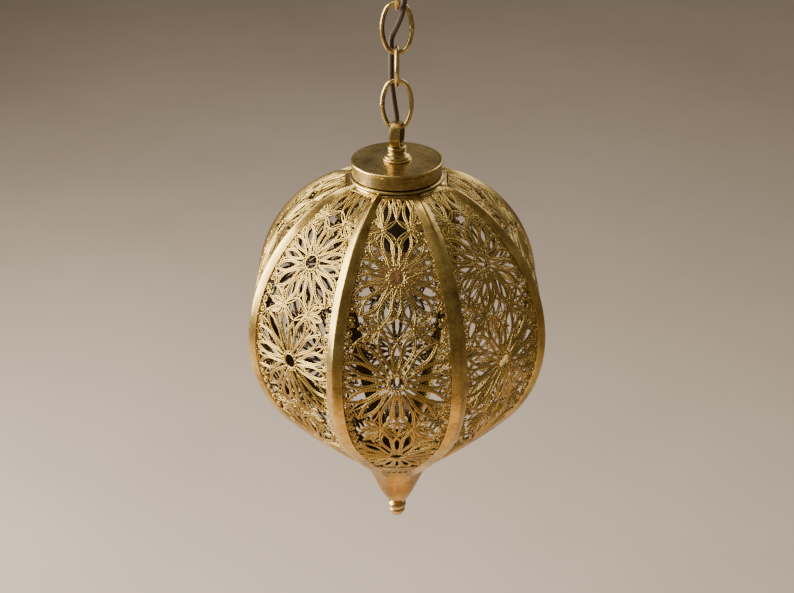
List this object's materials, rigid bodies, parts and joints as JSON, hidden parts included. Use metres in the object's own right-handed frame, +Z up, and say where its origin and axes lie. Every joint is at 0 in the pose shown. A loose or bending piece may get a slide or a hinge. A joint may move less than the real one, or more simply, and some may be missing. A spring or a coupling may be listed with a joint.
{
  "type": "hanging lantern",
  "caption": "Melon-shaped hanging lantern in pierced antique brass with round ribs, flat cap, turned knob, oval link chain, woven supply cord and ceiling rose.",
  "frame": {"origin": "centre of the two ceiling screws, in the plane of the ceiling", "axes": "+Z up, out of the top of the rose into the ceiling; -Y is the front; +X is to the right seen from the front"},
  "size_m": [0.2224, 0.2224, 0.5407],
  "materials": {
    "antique_brass": "satin, aged",
    "chain_brass": "satin, aged",
    "rib_brass": "polished, aged",
    "filigree_brass": "granulated, aged",
    "zinc_steel": "zinc plated",
    "bushing_rubber": "matt",
    "bakelite": "moulded",
    "ceramic": "glazed",
    "bulb_metal": "pressed",
    "bulb_glass": "clear, amber",
    "cord_fabric": "braided"
  },
  "bodies": {
    "ceiling_rose": {"crossbar": "zinc_steel", "rose_nipple": "zinc_steel", "crossbar_nut": "zinc_steel", "rose": "antique_brass", "rose_bushing": "bushing_rubber", "rose_loop": "antique_brass", "terminal_block": "ceramic", "terminal_screws": "zinc_steel", "supply_cord": "cord_fabric"},
    "link_5": {"chain_link_5": "chain_brass"},
    "link_4": {"chain_link_4": "chain_brass"},
    "link_3": {"chain_link_3": "chain_brass"},
    "link_2": {"chain_link_2": "chain_brass"},
    "link_1": {"chain_link_1": "chain_brass"},
    "lantern_head": {"hanger_loop": "antique_brass", "neck": "antique_brass", "stem_nipple": "zinc_steel", "cap": "antique_brass", "cap_bushing": "bushing_rubber", "stem_washer": "zinc_steel", "stem_nut": "zinc_steel", "spring_clips": "zinc_steel", "lampholder_cap": "bakelite", "lampholder_shell": "bakelite", "lampholder_core": "ceramic", "lampholder_ring": "bakelite", "bulb_base": "bulb_metal", "bulb_glass": "bulb_glass"},
    "globe": {"top_collar": "antique_brass", "bead_ring": "antique_brass", "rib_1": "rib_brass", "rib_2": "rib_brass", "rib_3": "rib_brass", "rib_4": "rib_brass", "rib_5": "rib_brass", "rib_6": "rib_brass", "rib_7": "rib_brass", "rib_8": "rib_brass", "filigree_panel_1": "filigree_brass", "filigree_panel_2": "filigree_brass", "filigree_panel_3": "filigree_brass", "filigree_panel_4": "filigree_brass", "filigree_panel_5": "filigree_brass", "filigree_panel_6": "filigree_brass", "filigree_panel_7": "filigree_brass", "filigree_panel_8": "filigree_brass", "tail_cone": "antique_brass", "tail_stud": "zinc_steel", "tail_nut": "zinc_steel", "finial": "antique_brass"}
  },
  "joints": [
    {"name": "rose_loop_swing", "type": "hinge", "parent": "ceiling_rose", "child": "link_5", "pos_m": [0, 0, -0.0475], "axis": [1, 0, 0], "range_deg": [-30, 30], "deforming": ["supply_cord"]},
    {"name": "link_5_swing", "type": "hinge", "parent": "link_5", "child": "link_4", "pos_m": [0, 0, -0.08015], "axis": [0, 1, 0], "range_deg": [-30, 30]},
    {"name": "link_4_swing", "type": "hinge", "parent": "link_4", "child": "link_3", "pos_m": [0, 0, -0.1044], "axis": [1, 0, 0], "range_deg": [-30, 30]},
    {"name": "link_3_swing", "type": "hinge", "parent": "link_3", "child": "link_2", "pos_m": [0, 0, -0.13705], "axis": [0, 1, 0], "range_deg": [-30, 30]},
    {"name": "link_2_swing", "type": "hinge", "parent": "link_2", "child": "link_1", "pos_m": [0, 0, -0.16475], "axis": [0, 1, 0], "range_deg": [-30, 30]},
    {"name": "lantern_swing", "type": "hinge", "parent": "link_1", "child": "lantern_head", "pos_m": [0, 0, -0.1974], "axis": [1, 0, 0], "range_deg": [-30, 30]},
    {"name": "globe_drop", "type": "slide", "parent": "lantern_head", "child": "globe", "axis": [0, 0, -1], "range_m": [0, 0.11]}
  ]
}
